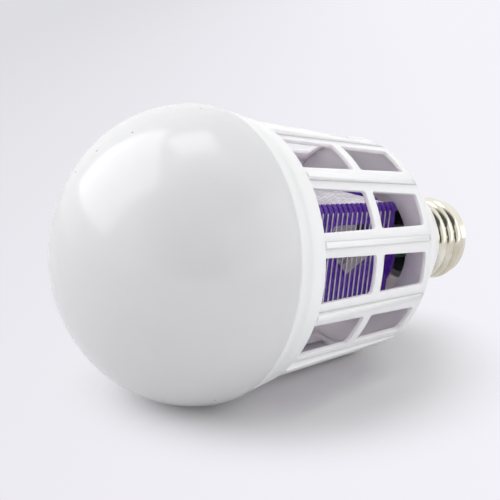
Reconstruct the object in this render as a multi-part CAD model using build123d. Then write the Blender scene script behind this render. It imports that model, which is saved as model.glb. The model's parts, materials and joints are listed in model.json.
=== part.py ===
from build123d import *
import math
import os

# An insect killer light bulb with an E27 cap, lying on a table as it comes to rest. Millimetres.
# Every piece is first made about the X axis, dome at -X and screw cap at +X, with x = 0 where the dome is
# widest. At the end all pieces are laid down together, on the dome's skirt and on the rounded end of the cage.

# Fits
slip_gap = 0.15  # a spigot in its bore
free_gap = 0.3  # pieces that only lie close together
thread_gap = 0.05  # a screw in its hole

# Diffuser dome
dome_radius = 40.9
dome_depth = 37.6
oval_handle = 0.5523  # a quarter oval's handle as a share of its half length
dome_wall = 1.5
dome_skirt = 2.8  # from the widest place to the cup
dome_skirt_draft = 0.3
dome_lip_length = 3.4
dome_lip_wall = 1.4

# Lamp cup
cup_length = 11.2
cup_rim_radius = 40.4
cup_end_radius = 37.9
cup_wall = 1.8
cup_rim_round = 0.7
cup_end_round = 0.4
web_thickness = 1.6
web_bore_radius = 4.0
boss_radius = 3.0
boss_length = 5.0

# White LED plate
plate_thickness = 1.6
plate_bore_radius = 4.0
chip_length = 3.5
chip_width = 2.8
chip_height = 0.7
outer_chip_count = 16
outer_chip_step = 5.0  # from the screws' ring in to the outer chips
inner_chip_count = 8
inner_chip_step = 6.5  # from the plate's bore out to the inner chips
screw_count = 3
screw_edge = 4.65  # from a screw's head to the dome's lip
screw_radius = 1.2
screw_head_radius = 2.4
screw_head_height = 1.6
screw_head_round = 0.8
screw_length = 6.5

# Cage
cage_radius = 36.4  # outside, where the taper begins at the cup's end
cage_wall = 1.3
cage_window_start = 13.5
cage_length = 48.3  # from the cup's end to the cage's end
cage_end_radius = 32.4
cage_end_band = 3.1
cage_end_round = 0.8
hoop_start = 36.75
hoop_width = 3.0
window_corner = 0.8
rib_count = 12
rib_half_width_front = 3.55
rib_half_width_back = 4.05
fin_width = 1.65
fin_height_front = 2.5
fin_height_back = 0.55
fin_end_run = 2.4
fin_end_round = 1.5
fin_tip_inset = 0.6  # from the cage's end
fin_edge_round = 0.35
floor_depth = 6.1
floor_thickness = 1.4

# Winding frame
frame_half = 14.7  # from the axis to the bottom of the wire slots
frame_corner = 2.4
frame_wall = 1.8
frame_end = 64.0
tooth_height = 0.9
tooth_reach = 2.4  # how far a row of teeth comes in from the corner
tooth_start = 1.4  # from the web to the first tooth
wire_pitch = 1.98
wire_radius = 0.25
wire_step_margin = 2.0  # from the corner to where a wire steps on to its next slot
slot_gap = 0.1  # on each side of a wire
post_margin = 0.2  # from a corner's rounding to an opening
opening_margin_front = 4.0  # from the web to the top and bottom openings
opening_margin_back = 3.0
first_slot = 11.9
slot_count = 26
opening_top = 9.4
opening_shoulder = -0.3
opening_tip = -6.2
opening_start = 38.3
opening_end = 57.4
opening_top_end = 53.6
opening_shoulder_start = 41.0
opening_tip_shift = 1.8  # the tip lies before the middle of the shoulders
opening_round = 1.2
opening_rib_half = 1.5  # half the rib between a side's two openings
end_ring_step = 1.8  # out from the frame's side
end_ring_bore_step = 1.1  # in from the frame's side
end_ring_thickness = 1.0
end_ring_overlap = 0.4  # with the frame's end
end_ring_round = 0.3
floor_hole_step = 3.6  # from the frame's side out to the hole in the cage's floor

# UV board
uv_board_thickness = 1.2
uv_chip_size = 3.5
uv_chip_height = 1.1
uv_chip_count = 4

# Base cone
cone_end = 85.2
cone_start_radius = 32.0
cone_end_radius = 15.8
cone_wall = 2.2
cone_nose_round = 1.2
cone_flange = 1.6  # of full thickness at the cage's end
throat_step = 4.5  # from the spigot's bore out to the cone's cavity
throat_length = 2.5
spigot_bore = 10.3
spigot_length = 14.8

# E27 cap
thread_pitch = 3.63
thread_crest_radius = 13.2
thread_root_radius = 12.25
thread_turns = 3.35
thread_start = 88.9
shell_bore = 11.95
shell_end = 102.6
shell_nose_radius = 9.9
shell_nose_length = 1.9
shell_wall = 0.4
insulator_wall = 1.9
insulator_end = 107.4
insulator_tip_radius = 5.2
insulator_bore = 1.6
insulator_flange_gap = 0.2
insulator_flange_width = 4.15
contact_radius = 4.6
contact_height = 1.1
contact_round = 0.7
contact_shank_length = 2.6

# Driver board and its parts
board_start = 70.0
board_half_width = 10.45
board_thickness = 1.2
board_drop = 1.4  # the top face below the axis
groove_depth = 0.3  # of the board's grooves in the spigot
board_edge_gap = 1.0  # from the board's front edge to its first parts
capacitor_radius = 4.0
capacitor_length = 12.0
inductor_radius = 4.2
inductor_height = 8.0
inductor_flange = 1.2
inductor_waist_step = 0.7
film_gap = 4.0  # behind the electrolytic capacitor
film_length = 9.0
film_width = 4.0
film_height = 6.5
bridge_inset = 12.0  # from the board's back edge
bridge_length = 4.7
bridge_width = 3.9
bridge_height = 1.6
diode_radius = 1.3
diode_length = 5.0
diode_count = 3
diode_gap = 0.6
fuse_radius = 1.4
fuse_length = 6.0
fuse_end_gap = 2.0
fuse_side = 4.45  # beside the bulb's axis

# Leads
lead_radius = 0.55
lead_bend = 1.2
lead_sweep = 4.0  # radius of the free bends
lead_seat = 5.0  # from the board's front edge to a lead's end
lead_pad = 3.0  # a lead's length along the plate it is soldered to
lead_ring_gap = 0.6  # between a lead and the frame's end ring
lead_board_gap = 0.9  # between a lead and the UV board
led_lead_spread = 5.0  # degrees to each side of the frame's corner
led_lead_ends = (5.2, 7.8)
grid_lead_sides = (-3.4, -0.6)
grid_lead_run = 2.0  # straight on past the frame's end
uv_lead_side = 2.6
live_lead_length = 3.0  # over the driver board
neutral_lead_inset = 2.2

# Worked out from the sizes above
cup_start = dome_skirt
cup_end = cup_start + cup_length
cup_bore = cup_rim_radius - cup_wall
cage_ring_bore = cage_radius + free_gap
skirt_radius = dome_radius - dome_skirt_draft
spigot_radius = shell_bore - slip_gap
spigot_end = cone_end + spigot_length
board_length = spigot_end - board_start
plate_front = dome_skirt + dome_lip_length + free_gap
plate_back = plate_front + plate_thickness
web_back = plate_back + web_thickness
lip_radius = cup_bore - slip_gap
lip_bore = lip_radius - dome_lip_wall
screw_ring_radius = lip_bore - screw_edge - screw_head_radius
chip_rings = ((screw_ring_radius - outer_chip_step, outer_chip_count),
              (plate_bore_radius + inner_chip_step, inner_chip_count))
cage_end = cup_end + cage_length
window_end = cage_end - cage_end_band
hoop_end = hoop_start + hoop_width
cage_taper = (cage_radius - cage_end_radius) / cage_length
half_step = math.pi / rib_count
floor_start = cage_end - floor_thickness
frame_inner = frame_half - frame_wall
end_ring_radius = frame_half + end_ring_step
end_ring_bore = frame_half - end_ring_bore_step
floor_hole_radius = frame_half + floor_hole_step
floor_hole_start = floor_start + floor_depth
wire_line = frame_half + wire_radius
wire_step_side = wire_line - frame_corner - wire_step_margin
slot_width = 2 * (wire_radius + slot_gap)
lead_ring = end_ring_bore - lead_ring_gap - lead_radius
uv_board_radius = lead_ring - lead_radius - lead_board_gap
uv_chip_ring = (web_bore_radius + uv_board_radius) / 2
board_top = -board_drop
board_under = board_top - board_thickness


def turned(points, rounds=None):
    face = make_face(Polyline(*points, close=True))
    for number, radius in (rounds or {}).items():
        corner = face.vertices().sort_by_distance(points[number])[0]
        face = fillet(corner, radius)
    return revolve(face, Axis.X)


def about_axis(shape, angle):
    return Rot(angle, 0, 0) * shape


def rod(start, end, radius):
    line = Line(start, end)
    return sweep(Plane(origin=start, z_dir=line % 0) * Circle(radius), line)


def bent_wire(points, bend, radius):
    line = FilletPolyline(*points, radius=bend)
    return sweep(Plane(origin=line @ 0, z_dir=line % 0) * Circle(radius), line)


def cage_outside(x):
    return cage_radius - cage_taper * (x - cup_end)


def rib_half_width(x):
    share = (x - cup_end) / (window_end - cup_end)
    return rib_half_width_front + share * (rib_half_width_back - rib_half_width_front)


def dome_curve(inset):
    """The dome's curve from its tip to its widest place, a quarter oval."""
    depth = dome_depth - inset
    radius = dome_radius - inset
    return Bezier((-depth, 0), (-depth, oval_handle * radius), (-oval_handle * depth, radius), (0, radius))


def diffuser_dome():
    lip_end = dome_skirt + dome_lip_length
    outline = [
        dome_curve(0), dome_curve(dome_wall),
        Polyline((0, dome_radius), (dome_skirt, skirt_radius), (dome_skirt, lip_radius), (lip_end, lip_radius),
                 (lip_end, lip_bore), (dome_skirt, lip_bore), (0, dome_radius - dome_wall)),
        Line((dome_wall - dome_depth, 0), (-dome_depth, 0)),
    ]
    return revolve(make_face(outline), Axis.X)


def screw_angles():
    return [360 * (number + 0.5) / screw_count for number in range(screw_count)]


def lamp_cup():
    cup = turned(
        [(cup_start, cup_bore), (cup_start, cup_rim_radius), (cup_end, cup_end_radius), (cup_end, cage_ring_bore),
         (web_back, cage_ring_bore), (web_back, web_bore_radius), (plate_back, web_bore_radius),
         (plate_back, cup_bore)],
        {1: cup_rim_round, 2: cup_end_round},
    )
    boss = Pos(web_back, 0, screw_ring_radius) * Rot(0, 90, 0) * Cylinder(
        boss_radius, boss_length, align=(Align.CENTER, Align.CENTER, Align.MIN))
    pilot = Pos(plate_back, 0, screw_ring_radius) * Rot(0, 90, 0) * Cylinder(
        screw_radius + thread_gap, web_thickness + boss_length, align=(Align.CENTER, Align.CENTER, Align.MIN))
    cup += [about_axis(boss, angle) for angle in screw_angles()]
    cup -= [about_axis(pilot, angle) for angle in screw_angles()]
    return cup - [lead_hole(side) for side in (-1, 1)]


def lead_place(side):
    """Where an LED lead runs, in a corner inside the winding frame."""
    angle = math.radians(-45 + side * led_lead_spread)
    return lead_ring * math.cos(angle), lead_ring * math.sin(angle)


def lead_hole(side):
    y, z = lead_place(side)
    length = web_back - plate_front + 2
    return Pos(plate_front - 1, y, z) * Rot(0, 90, 0) * Cylinder(
        lead_radius + free_gap, length, align=(Align.CENTER, Align.CENTER, Align.MIN))


def led_plate():
    plate = turned([(plate_front, plate_bore_radius), (plate_front, cup_bore - free_gap),
                    (plate_back, cup_bore - free_gap), (plate_back, plate_bore_radius)])
    hole = Pos(plate_front - 1, 0, screw_ring_radius) * Rot(0, 90, 0) * Cylinder(
        screw_radius + free_gap, plate_thickness + 2, align=(Align.CENTER, Align.CENTER, Align.MIN))
    plate -= [about_axis(hole, angle) for angle in screw_angles()]
    return plate - [lead_hole(side) for side in (-1, 1)]


def led_plate_screws():
    screw = turned([(plate_front - screw_head_height, 0), (plate_front - screw_head_height, screw_head_radius),
                    (plate_front, screw_head_radius), (plate_front, screw_radius),
                    (plate_front + screw_length, screw_radius), (plate_front + screw_length, 0)],
                   {1: screw_head_round})
    return [about_axis(Pos(0, 0, screw_ring_radius) * screw, angle) for angle in screw_angles()]


def white_led_chips():
    chip = Box(chip_height, chip_length, chip_width, align=(Align.MAX, Align.CENTER, Align.CENTER))
    return [about_axis(Pos(plate_front, 0, ring) * chip, 360 * number / count)
            for ring, count in chip_rings for number in range(count)]


def cage_window(start, end):
    """A window's cutter: a trapezoid with round corners, pushed through the wall above the axis."""
    corners = []
    for x, side in ((start, -1), (end, -1), (end, 1), (start, 1)):
        half = cage_outside(x) * math.tan(half_step) - rib_half_width(x)
        corners.append((x, side * half))
    face = make_face(Polyline(*corners, close=True))
    face = fillet(face.vertices(), window_corner)
    return extrude(Pos(0, 0, cage_end_radius / 2) * face, cage_radius)


def cage_fin():
    """One fin, standing on its rib, highest at the cup and running out to the wall at the cage's end."""
    front = cup_end + free_gap
    back = cage_end - fin_end_run
    tip = cage_end - fin_tip_inset
    foot = cage_wall / 2
    face = make_face(Polyline(
        (front, cage_outside(front) - foot), (front, cage_outside(front) + fin_height_front),
        (back, cage_outside(back) + fin_height_back), (tip, cage_end_radius), (tip, cage_end_radius - foot),
        close=True))
    face = fillet(face.vertices().sort_by_distance((back, cage_outside(back) + fin_height_back))[0], fin_end_round)
    fin = extrude(Plane.XZ * face, fin_width / 2, both=True)
    top = [edge for edge in fin.edges()
           if edge.center().Z > cage_outside(edge.center().X) + 0.1 and abs(edge.center().Y) > fin_width / 3]
    return fillet(top, fin_edge_round)


def cage():
    wall_bore = cage_end_radius - cage_wall + cage_taper * floor_thickness
    body = turned(
        [(web_back, cage_radius), (cup_end, cage_radius), (cage_end, cage_end_radius),
         (cage_end, wall_bore), (floor_hole_start + floor_thickness, floor_hole_radius),
         (floor_hole_start, floor_hole_radius),
         (floor_start, wall_bore), (cup_end, cage_radius - cage_wall), (web_back, cage_radius - cage_wall)],
        {2: cage_end_round},
    )
    rows = ((cage_window_start, hoop_start), (hoop_end, window_end))
    step = 360 / rib_count
    windows = [about_axis(cage_window(*row), step * number) for row in rows for number in range(rib_count)]
    fins = [about_axis(cage_fin(), step * (number + 0.5)) for number in range(rib_count)]
    return (body - windows) + fins


def frame_prism(half, corner, start, end):
    face = RectangleRounded(2 * half, 2 * half, corner)
    return extrude(Plane.YZ.offset(start) * face, end - start)


def shield_opening():
    """A side opening's outline in the X and Z of the frame: flat at the top, pointed at the bottom."""
    tip = (opening_shoulder_start + opening_end) / 2 - opening_tip_shift
    face = make_face(Polyline(
        (opening_start, opening_top), (opening_top_end, opening_top), (opening_end, opening_shoulder),
        (tip, opening_tip), (opening_shoulder_start, opening_shoulder), close=True))
    return fillet(face.vertices(), opening_round)


def winding_frame():
    outer = frame_prism(frame_half, frame_corner, web_back, frame_end)
    body = outer - frame_prism(frame_inner, frame_corner - frame_wall / 2, web_back, frame_end)
    half = frame_half + tooth_height
    teeth = frame_prism(half, frame_corner + tooth_height, web_back + tooth_start, frame_end)
    teeth -= frame_prism(frame_inner, frame_corner - frame_wall / 2, web_back, frame_end)
    gap = 2 * (half - tooth_reach)
    length = frame_end - web_back
    middle = (frame_end + web_back) / 2
    teeth -= [Pos(middle, 0, 0) * Box(length + 2, gap, 2 * half + 2), Pos(middle, 0, 0) * Box(length + 2, 2 * half + 2, gap)]
    slot_ring = Box(slot_width, 2 * half + 2, 2 * half + 2)
    slots = []
    core = frame_prism(frame_half, frame_corner, -slot_width / 2, slot_width / 2)
    ring = slot_ring - core
    for number in range(slot_count):
        slots.append(Pos(first_slot + wire_pitch * number, 0, 0) * ring)
    body += teeth - slots
    face_gap = 2 * (frame_half - frame_corner - post_margin)
    top_start = web_back + opening_margin_front
    top_end = frame_end - opening_margin_back
    body -= Pos((top_start + top_end) / 2, 0, 0) * Box(top_end - top_start, face_gap, 4 * frame_half)
    opening = extrude(Plane.XZ * shield_opening(), 2 * frame_half, both=True)
    twin = mirror(opening, Plane.YZ.offset(opening_start - opening_rib_half))
    body -= [opening, twin]
    ring_start = frame_end - end_ring_overlap
    end_ring = turned([(ring_start, end_ring_bore), (ring_start, end_ring_radius),
                       (ring_start + end_ring_thickness, end_ring_radius),
                       (ring_start + end_ring_thickness, end_ring_bore)], {2: end_ring_round})
    return body + end_ring


def grid_wire(first):
    """One grid wire: every second slot, stepping on to its next slot across the bottom face."""
    points = []
    for number in range(first, slot_count, 2):
        x = first_slot + wire_pitch * number
        points += [(x, -wire_step_side, -wire_line), (x, -wire_line, -wire_line), (x, -wire_line, wire_line),
                   (x, wire_line, wire_line), (x, wire_line, -wire_line), (x, wire_step_side, -wire_line)]
    return bent_wire(points, frame_corner + wire_radius, wire_radius)


def uv_led_board():
    return turned([(web_back, web_bore_radius), (web_back, uv_board_radius),
                   (web_back + uv_board_thickness, uv_board_radius),
                   (web_back + uv_board_thickness, web_bore_radius)])


def uv_led_chips():
    chip = Pos(web_back + uv_board_thickness, 0, uv_chip_ring) * Box(
        uv_chip_height, uv_chip_size, uv_chip_size, align=(Align.MIN, Align.CENTER, Align.CENTER))
    return [about_axis(chip, 360 * (number + 0.5) / uv_chip_count) for number in range(uv_chip_count)]


def base_cone():
    slope = (cone_start_radius - cone_end_radius) / (cone_end - cage_end)
    cavity_start = cage_end + cone_flange
    cavity_radius = cone_start_radius - slope * (cavity_start - cage_end) - cone_wall
    throat_radius = spigot_bore + throat_step
    throat = cage_end + (cone_start_radius - cone_wall - throat_radius) / slope
    mouth_radius = cage_end_radius - cage_wall + cage_taper * floor_thickness
    cone = turned(
        [(cage_end, mouth_radius), (cage_end, cone_start_radius), (cone_end, cone_end_radius),
         (cone_end, spigot_radius), (spigot_end, spigot_radius), (spigot_end, spigot_bore),
         (throat + throat_length, spigot_bore), (throat, throat_radius), (cavity_start, cavity_radius)],
        {2: cone_nose_round},
    )
    groove = Pos(spigot_end, 0, board_top + slip_gap) * Box(
        spigot_end - cone_end, 2 * (spigot_bore + groove_depth), board_thickness + 2 * slip_gap,
        align=(Align.MAX, Align.CENTER, Align.MAX))
    notch_width = 2 * (lead_radius + free_gap)
    notch = Pos(spigot_end, spigot_bore - notch_width, board_top + lead_radius) * Box(
        2 * notch_width, spigot_radius - spigot_bore + 2 * notch_width, notch_width,
        align=(Align.MAX, Align.MIN, Align.CENTER))
    return cone - groove - notch


def screw_shell():
    sleeve = turned([(cone_end, shell_bore), (cone_end, thread_root_radius),
                     (shell_end, thread_root_radius), (shell_end + shell_nose_length, shell_nose_radius),
                     (shell_end + shell_nose_length, shell_nose_radius - shell_wall),
                     (shell_end, thread_root_radius - shell_wall), (shell_end - 1, shell_bore)])
    length = thread_turns * thread_pitch
    path = Helix(thread_pitch, length, thread_root_radius)
    profile = Circle(thread_crest_radius - thread_root_radius)
    ridge = sweep(Plane(origin=path @ 0, z_dir=path % 0) * profile, path, is_frenet=True)
    ridge = Pos(thread_start, 0, 0) * Rot(0, 90, 0) * ridge
    bore = Pos(thread_start - thread_pitch, 0, 0) * Rot(0, 90, 0) * Cylinder(
        shell_bore, length + 2 * thread_pitch, align=(Align.CENTER, Align.CENTER, Align.MIN))
    return sleeve + (ridge - bore)


def cap_insulator():
    """Its flange sits on the spigot's end and its cone fills the shell's nose."""
    flange_end = shell_end - insulator_flange_gap
    tip_outside = shell_nose_radius - shell_wall - slip_gap
    inside = (shell_nose_radius + insulator_tip_radius) / 2 - insulator_wall
    flange_bore = spigot_radius - insulator_flange_width
    return turned([(spigot_end, flange_bore), (spigot_end, spigot_radius), (flange_end, spigot_radius),
                   (shell_end + shell_nose_length, tip_outside), (insulator_end, insulator_tip_radius),
                   (insulator_end, insulator_bore), (insulator_end - insulator_wall, insulator_bore),
                   (shell_end, inside)])


def centre_contact():
    shank = insulator_bore - slip_gap
    start = insulator_end - contact_shank_length
    end = insulator_end + contact_height
    return turned([(start, 0), (start, shank), (insulator_end, shank), (insulator_end, contact_radius),
                   (end, contact_radius), (end, 0)], {4: contact_round})


def driver_board():
    return Pos(board_start, 0, board_top) * Box(
        board_length, 2 * board_half_width, board_thickness, align=(Align.MIN, Align.CENTER, Align.MAX))


def lying(radius, length, x, y):
    """A round part lying on the board along the bulb's axis."""
    return Pos(x, y, board_top + radius) * Rot(0, 90, 0) * Cylinder(
        radius, length, align=(Align.CENTER, Align.CENTER, Align.MIN))


def electrolytic_capacitor():
    return lying(capacitor_radius, capacitor_length, board_start + board_edge_gap,
                 -board_half_width + capacitor_radius)


def drum_inductor():
    x = board_start + board_edge_gap + inductor_radius
    y = board_half_width - inductor_radius
    rest = (Align.CENTER, Align.CENTER, Align.MIN)
    flange = Cylinder(inductor_radius, inductor_flange, align=rest)
    drum = Cylinder(inductor_radius - inductor_waist_step, inductor_height, align=rest)
    drum += [flange, Pos(0, 0, inductor_height - inductor_flange) * flange]
    return Pos(x, y, board_top) * drum


def film_capacitor():
    x = board_start + board_edge_gap + capacitor_length + film_gap
    return Pos(x, 0, board_top) * Box(
        film_length, film_width, film_height, align=(Align.MIN, Align.CENTER, Align.MIN))


def bridge_rectifier():
    return Pos(spigot_end - bridge_inset, 0, board_under) * Box(
        bridge_length, bridge_width, bridge_height, align=(Align.MIN, Align.CENTER, Align.MAX))


def high_voltage_diodes():
    x = board_start + board_edge_gap + 2 * inductor_radius + diode_gap
    spacing = 2 * diode_radius + diode_gap
    sides = [board_half_width - spacing * (number + 1) + diode_radius for number in range(diode_count)]
    return [Pos(x, y, board_under - diode_radius) * Rot(0, 90, 0) * Cylinder(
        diode_radius, diode_length, align=(Align.CENTER, Align.CENTER, Align.MIN)) for y in sides]


def fuse_resistor():
    return lying(fuse_radius, fuse_length, spigot_end - fuse_length - fuse_end_gap, fuse_side)


def led_leads():
    """Soldered to the LED plate's front, then straight through the winding frame to the driver board."""
    pad = plate_front - lead_radius
    under = board_under - lead_radius
    wires = []
    for side, end_y in zip((-1, 1), led_lead_ends):
        y, z = lead_place(side)
        wires.append(bent_wire(
            [(pad, y + lead_pad, z), (pad, y, z), (floor_hole_start, y, z),
             (board_start + board_edge_gap, end_y, under), (board_start + lead_seat, end_y, under)],
            [lead_bend, lead_sweep, lead_sweep], lead_radius))
    return wires


def grid_leads():
    """Welded to the inside of a turn on the bottom face, then out of the frame's end to the driver board."""
    outside = -frame_half + lead_radius
    inside = -frame_inner + lead_radius + free_gap
    under = board_under - lead_radius
    wires = []
    for y, number in zip(grid_lead_sides, (slot_count - 5, slot_count - 4)):
        x = first_slot + wire_pitch * (number + 1 - y / wire_step_side)
        wires.append(bent_wire(
            [(x, y, outside), (x + inside - outside, y, inside), (frame_end + grid_lead_run, y, inside),
             (board_start + board_edge_gap, y, under), (board_start + lead_seat, y, under)],
            [lead_bend, lead_sweep, lead_sweep], lead_radius))
    return wires


def uv_link_leads():
    """From the LED plate's front through the web's hole to the UV board's face."""
    front = plate_front - lead_radius
    back = web_back + uv_board_thickness + lead_radius
    far = uv_lead_side + lead_pad
    return [bent_wire(
        [(front, side * far, 0), (front, side * uv_lead_side, 0), (back, side * uv_lead_side, 0),
         (back, side * far, 0)], lead_bend, lead_radius) for side in (-1, 1)]


def live_lead():
    z = board_top + lead_radius
    return rod((spigot_end - live_lead_length, 0, z), (insulator_end - contact_shank_length, 0, z), lead_radius)


def neutral_lead():
    """Out through the notch in the spigot's end to the shell."""
    z = board_top + lead_radius
    y = board_half_width - neutral_lead_inset
    out = spigot_end - lead_radius - free_gap
    reach = math.sqrt(shell_bore ** 2 - (abs(z) + lead_radius) ** 2)
    return bent_wire([(out - lead_pad, y, z), (out, y, z), (out, reach, z)], lead_bend, lead_radius)


pieces = {
    "diffuser_dome": diffuser_dome,
    "lamp_cup": lamp_cup,
    "led_plate": led_plate,
    "led_plate_screws": led_plate_screws,
    "white_led_chips": white_led_chips,
    "cage": cage,
    "winding_frame": winding_frame,
    "grid_wire_a": lambda: grid_wire(0),
    "grid_wire_b": lambda: grid_wire(1),
    "uv_led_board": uv_led_board,
    "uv_led_chips": uv_led_chips,
    "base_cone": base_cone,
    "screw_shell": screw_shell,
    "cap_insulator": cap_insulator,
    "centre_contact": centre_contact,
    "driver_board": driver_board,
    "electrolytic_capacitor": electrolytic_capacitor,
    "drum_inductor": drum_inductor,
    "film_capacitor": film_capacitor,
    "bridge_rectifier": bridge_rectifier,
    "high_voltage_diodes": high_voltage_diodes,
    "fuse_resistor": fuse_resistor,
    "led_leads": led_leads,
    "grid_leads": grid_leads,
    "uv_link_leads": uv_link_leads,
    "live_lead": live_lead,
    "neutral_lead": neutral_lead,
}

# The bulb lies on the dome's skirt at the front and on the rounded edge of the cage's end at the back.
edge_x = cage_end - cage_end_round
edge_radius = cage_outside(edge_x) - cage_end_round * math.hypot(1, cage_taper)
run = edge_x - dome_skirt
drop = skirt_radius - edge_radius
tilt = math.degrees(math.atan2(drop, run) - math.asin(cage_end_round / math.hypot(run, drop)))


def main():
    made = {}
    for name, make in pieces.items():
        shape = make()
        solids = shape if isinstance(shape, list) else [shape]
        made[name] = [Rot(0, tilt, 0) * solid for solid in solids]
    boxes = [solid.bounding_box() for solids in made.values() for solid in solids]
    low = [min(tuple(box.min)[i] for box in boxes) for i in range(3)]
    high = [max(tuple(box.max)[i] for box in boxes) for i in range(3)]
    down = Pos(-(low[0] + high[0]) / 2, -(low[1] + high[1]) / 2, -low[2])
    os.makedirs("parts", exist_ok=True)
    for name, solids in made.items():
        placed = [down * solid for solid in solids]
        export_step(placed[0] if len(placed) == 1 else Compound(placed), f"parts/{name}.step")
    print("tilt", round(tilt, 3), "size", [round(high[i] - low[i], 2) for i in range(3)], "moved by", down.position)


main()
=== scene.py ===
import json
import math

import bmesh
import bpy
from mathutils import Matrix, Vector


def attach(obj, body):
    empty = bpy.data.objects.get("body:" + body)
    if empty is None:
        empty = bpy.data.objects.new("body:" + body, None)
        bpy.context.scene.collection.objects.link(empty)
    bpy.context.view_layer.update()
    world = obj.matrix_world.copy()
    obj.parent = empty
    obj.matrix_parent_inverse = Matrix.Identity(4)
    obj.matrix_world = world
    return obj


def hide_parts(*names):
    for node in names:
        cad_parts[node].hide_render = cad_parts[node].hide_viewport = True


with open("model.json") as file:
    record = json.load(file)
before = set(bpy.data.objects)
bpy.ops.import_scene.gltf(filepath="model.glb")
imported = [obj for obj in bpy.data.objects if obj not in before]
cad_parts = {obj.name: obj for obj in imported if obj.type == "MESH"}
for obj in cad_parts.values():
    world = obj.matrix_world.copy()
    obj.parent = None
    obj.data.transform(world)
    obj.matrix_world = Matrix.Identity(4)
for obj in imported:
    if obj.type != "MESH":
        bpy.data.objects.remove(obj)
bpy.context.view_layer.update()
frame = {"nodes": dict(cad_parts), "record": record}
bodyName = "root"

# The bulb is drawn in millimetres about the X axis, dome at -X and screw cap at +X, with x = 0 where the
# dome is widest. layDown then puts it on the table, where the frame's own cap mount says that it lies.
contactFaceX = 108.5
mounts = {mount["name"]: mount for mount in frame["record"]["mounts"]}
capAxis = Vector(mounts["centre_contact_face"]["axis"])
capPlace = Vector(mounts["centre_contact_face"]["pos_m"])
millimetre = 0.001
layDown = (
    Matrix.Translation(capPlace - capAxis * contactFaceX * millimetre)
    @ Matrix.Rotation(math.atan2(-capAxis.z, capAxis.x), 4, "Y")
    @ Matrix.Scale(millimetre, 4)
)


# Materials
def newMaterial(name, color, roughness, **sockets):
    material = bpy.data.materials.new(name)
    material.use_nodes = True
    shader = material.node_tree.nodes["Principled BSDF"]
    shader.inputs["Base Color"].default_value = (*color, 1)
    shader.inputs["Roughness"].default_value = roughness
    for socket, value in sockets.items():
        shader.inputs[socket.replace("_", " ")].default_value = value
    return material, material.node_tree, shader


def objectNoise(tree, scale, detail=4.0, roughness=0.55, stretch=(1, 1, 1)):
    coordinates = tree.nodes.new("ShaderNodeTexCoord")
    mapping = tree.nodes.new("ShaderNodeMapping")
    mapping.inputs["Scale"].default_value = stretch
    noise = tree.nodes.new("ShaderNodeTexNoise")
    noise.inputs["Scale"].default_value = scale
    noise.inputs["Detail"].default_value = detail
    noise.inputs["Roughness"].default_value = roughness
    tree.links.new(coordinates.outputs["Object"], mapping.inputs["Vector"])
    tree.links.new(mapping.outputs["Vector"], noise.inputs["Vector"])
    return noise.outputs["Fac"]


def colorRamp(tree, source, stops):
    ramp = tree.nodes.new("ShaderNodeValToRGB")
    elements = ramp.color_ramp.elements
    while len(elements) < len(stops):
        elements.new(0.5)
    for element, (place, color) in zip(elements, stops):
        element.position = place
        element.color = (*color, 1)
    tree.links.new(source, ramp.inputs["Fac"])
    return ramp.outputs["Color"]


def mapRange(tree, source, low, high):
    node = tree.nodes.new("ShaderNodeMapRange")
    node.inputs["From Min"].default_value = 0.3
    node.inputs["From Max"].default_value = 0.7
    node.inputs["To Min"].default_value = low
    node.inputs["To Max"].default_value = high
    tree.links.new(source, node.inputs["Value"])
    return node.outputs["Result"]


def addBump(tree, shader, source, height, strength=1.0):
    bump = tree.nodes.new("ShaderNodeBump")
    bump.inputs["Distance"].default_value = height
    bump.inputs["Strength"].default_value = strength
    tree.links.new(source, bump.inputs["Height"])
    tree.links.new(bump.outputs["Normal"], shader.inputs["Normal"])


def mixColors(tree, factor, first, second, blend="MIX"):
    mix = tree.nodes.new("ShaderNodeMix")
    mix.data_type = "RGBA"
    mix.blend_type = blend
    for socket, value in (("Factor", factor), ("A", first), ("B", second)):
        index = {"Factor": 0, "A": 6, "B": 7}[socket]
        if isinstance(value, bpy.types.NodeSocket):
            tree.links.new(value, mix.inputs[index])
        elif index == 0:
            mix.inputs[index].default_value = value
        else:
            mix.inputs[index].default_value = (*value, 1)
    return mix.outputs[2]


def mathNode(tree, operation, first, second):
    node = tree.nodes.new("ShaderNodeMath")
    node.operation = operation
    for socket, value in zip(node.inputs, (first, second)):
        if isinstance(value, bpy.types.NodeSocket):
            tree.links.new(value, socket)
        else:
            socket.default_value = value
    return node.outputs[0]


opalLook = {
    "pale": (0.655, 0.655, 0.665), "deep": (0.63, 0.63, 0.645), "mottleScale": 28, "speckScale": 95,
    "speckSize": 0.03, "speckColor": (0.22, 0.20, 0.19), "waveScale": 16, "waveHeight": 0.00012,
}


def opalPlastic(look):
    # milky moulded dome: glossy, a little light goes into it, and a few specks of dust lie on it
    material, tree, shader = newMaterial(
        "opalPlastic", look["pale"], 0.1, IOR=1.49, Subsurface_Weight=0.2, Subsurface_Scale=0.004)
    shader.inputs["Subsurface Radius"].default_value = (1.0, 1.0, 1.0)
    mottle = colorRamp(tree, objectNoise(tree, look["mottleScale"]), ((0.3, look["deep"]), (0.7, look["pale"])))
    coordinates = tree.nodes.new("ShaderNodeTexCoord")
    cells = tree.nodes.new("ShaderNodeTexVoronoi")
    cells.inputs["Scale"].default_value = look["speckScale"]
    tree.links.new(coordinates.outputs["Object"], cells.inputs["Vector"])
    speck = tree.nodes.new("ShaderNodeMath")
    speck.operation = "LESS_THAN"
    speck.inputs[1].default_value = look["speckSize"]
    tree.links.new(cells.outputs["Distance"], speck.inputs[0])
    tree.links.new(mixColors(tree, speck.outputs[0], mottle, look["speckColor"]), shader.inputs["Base Color"])
    tree.links.new(mapRange(tree, objectNoise(tree, 60), 0.14, 0.19), shader.inputs["Roughness"])
    addBump(tree, shader, objectNoise(tree, look["waveScale"], detail=1), look["waveHeight"])
    return material


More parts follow.
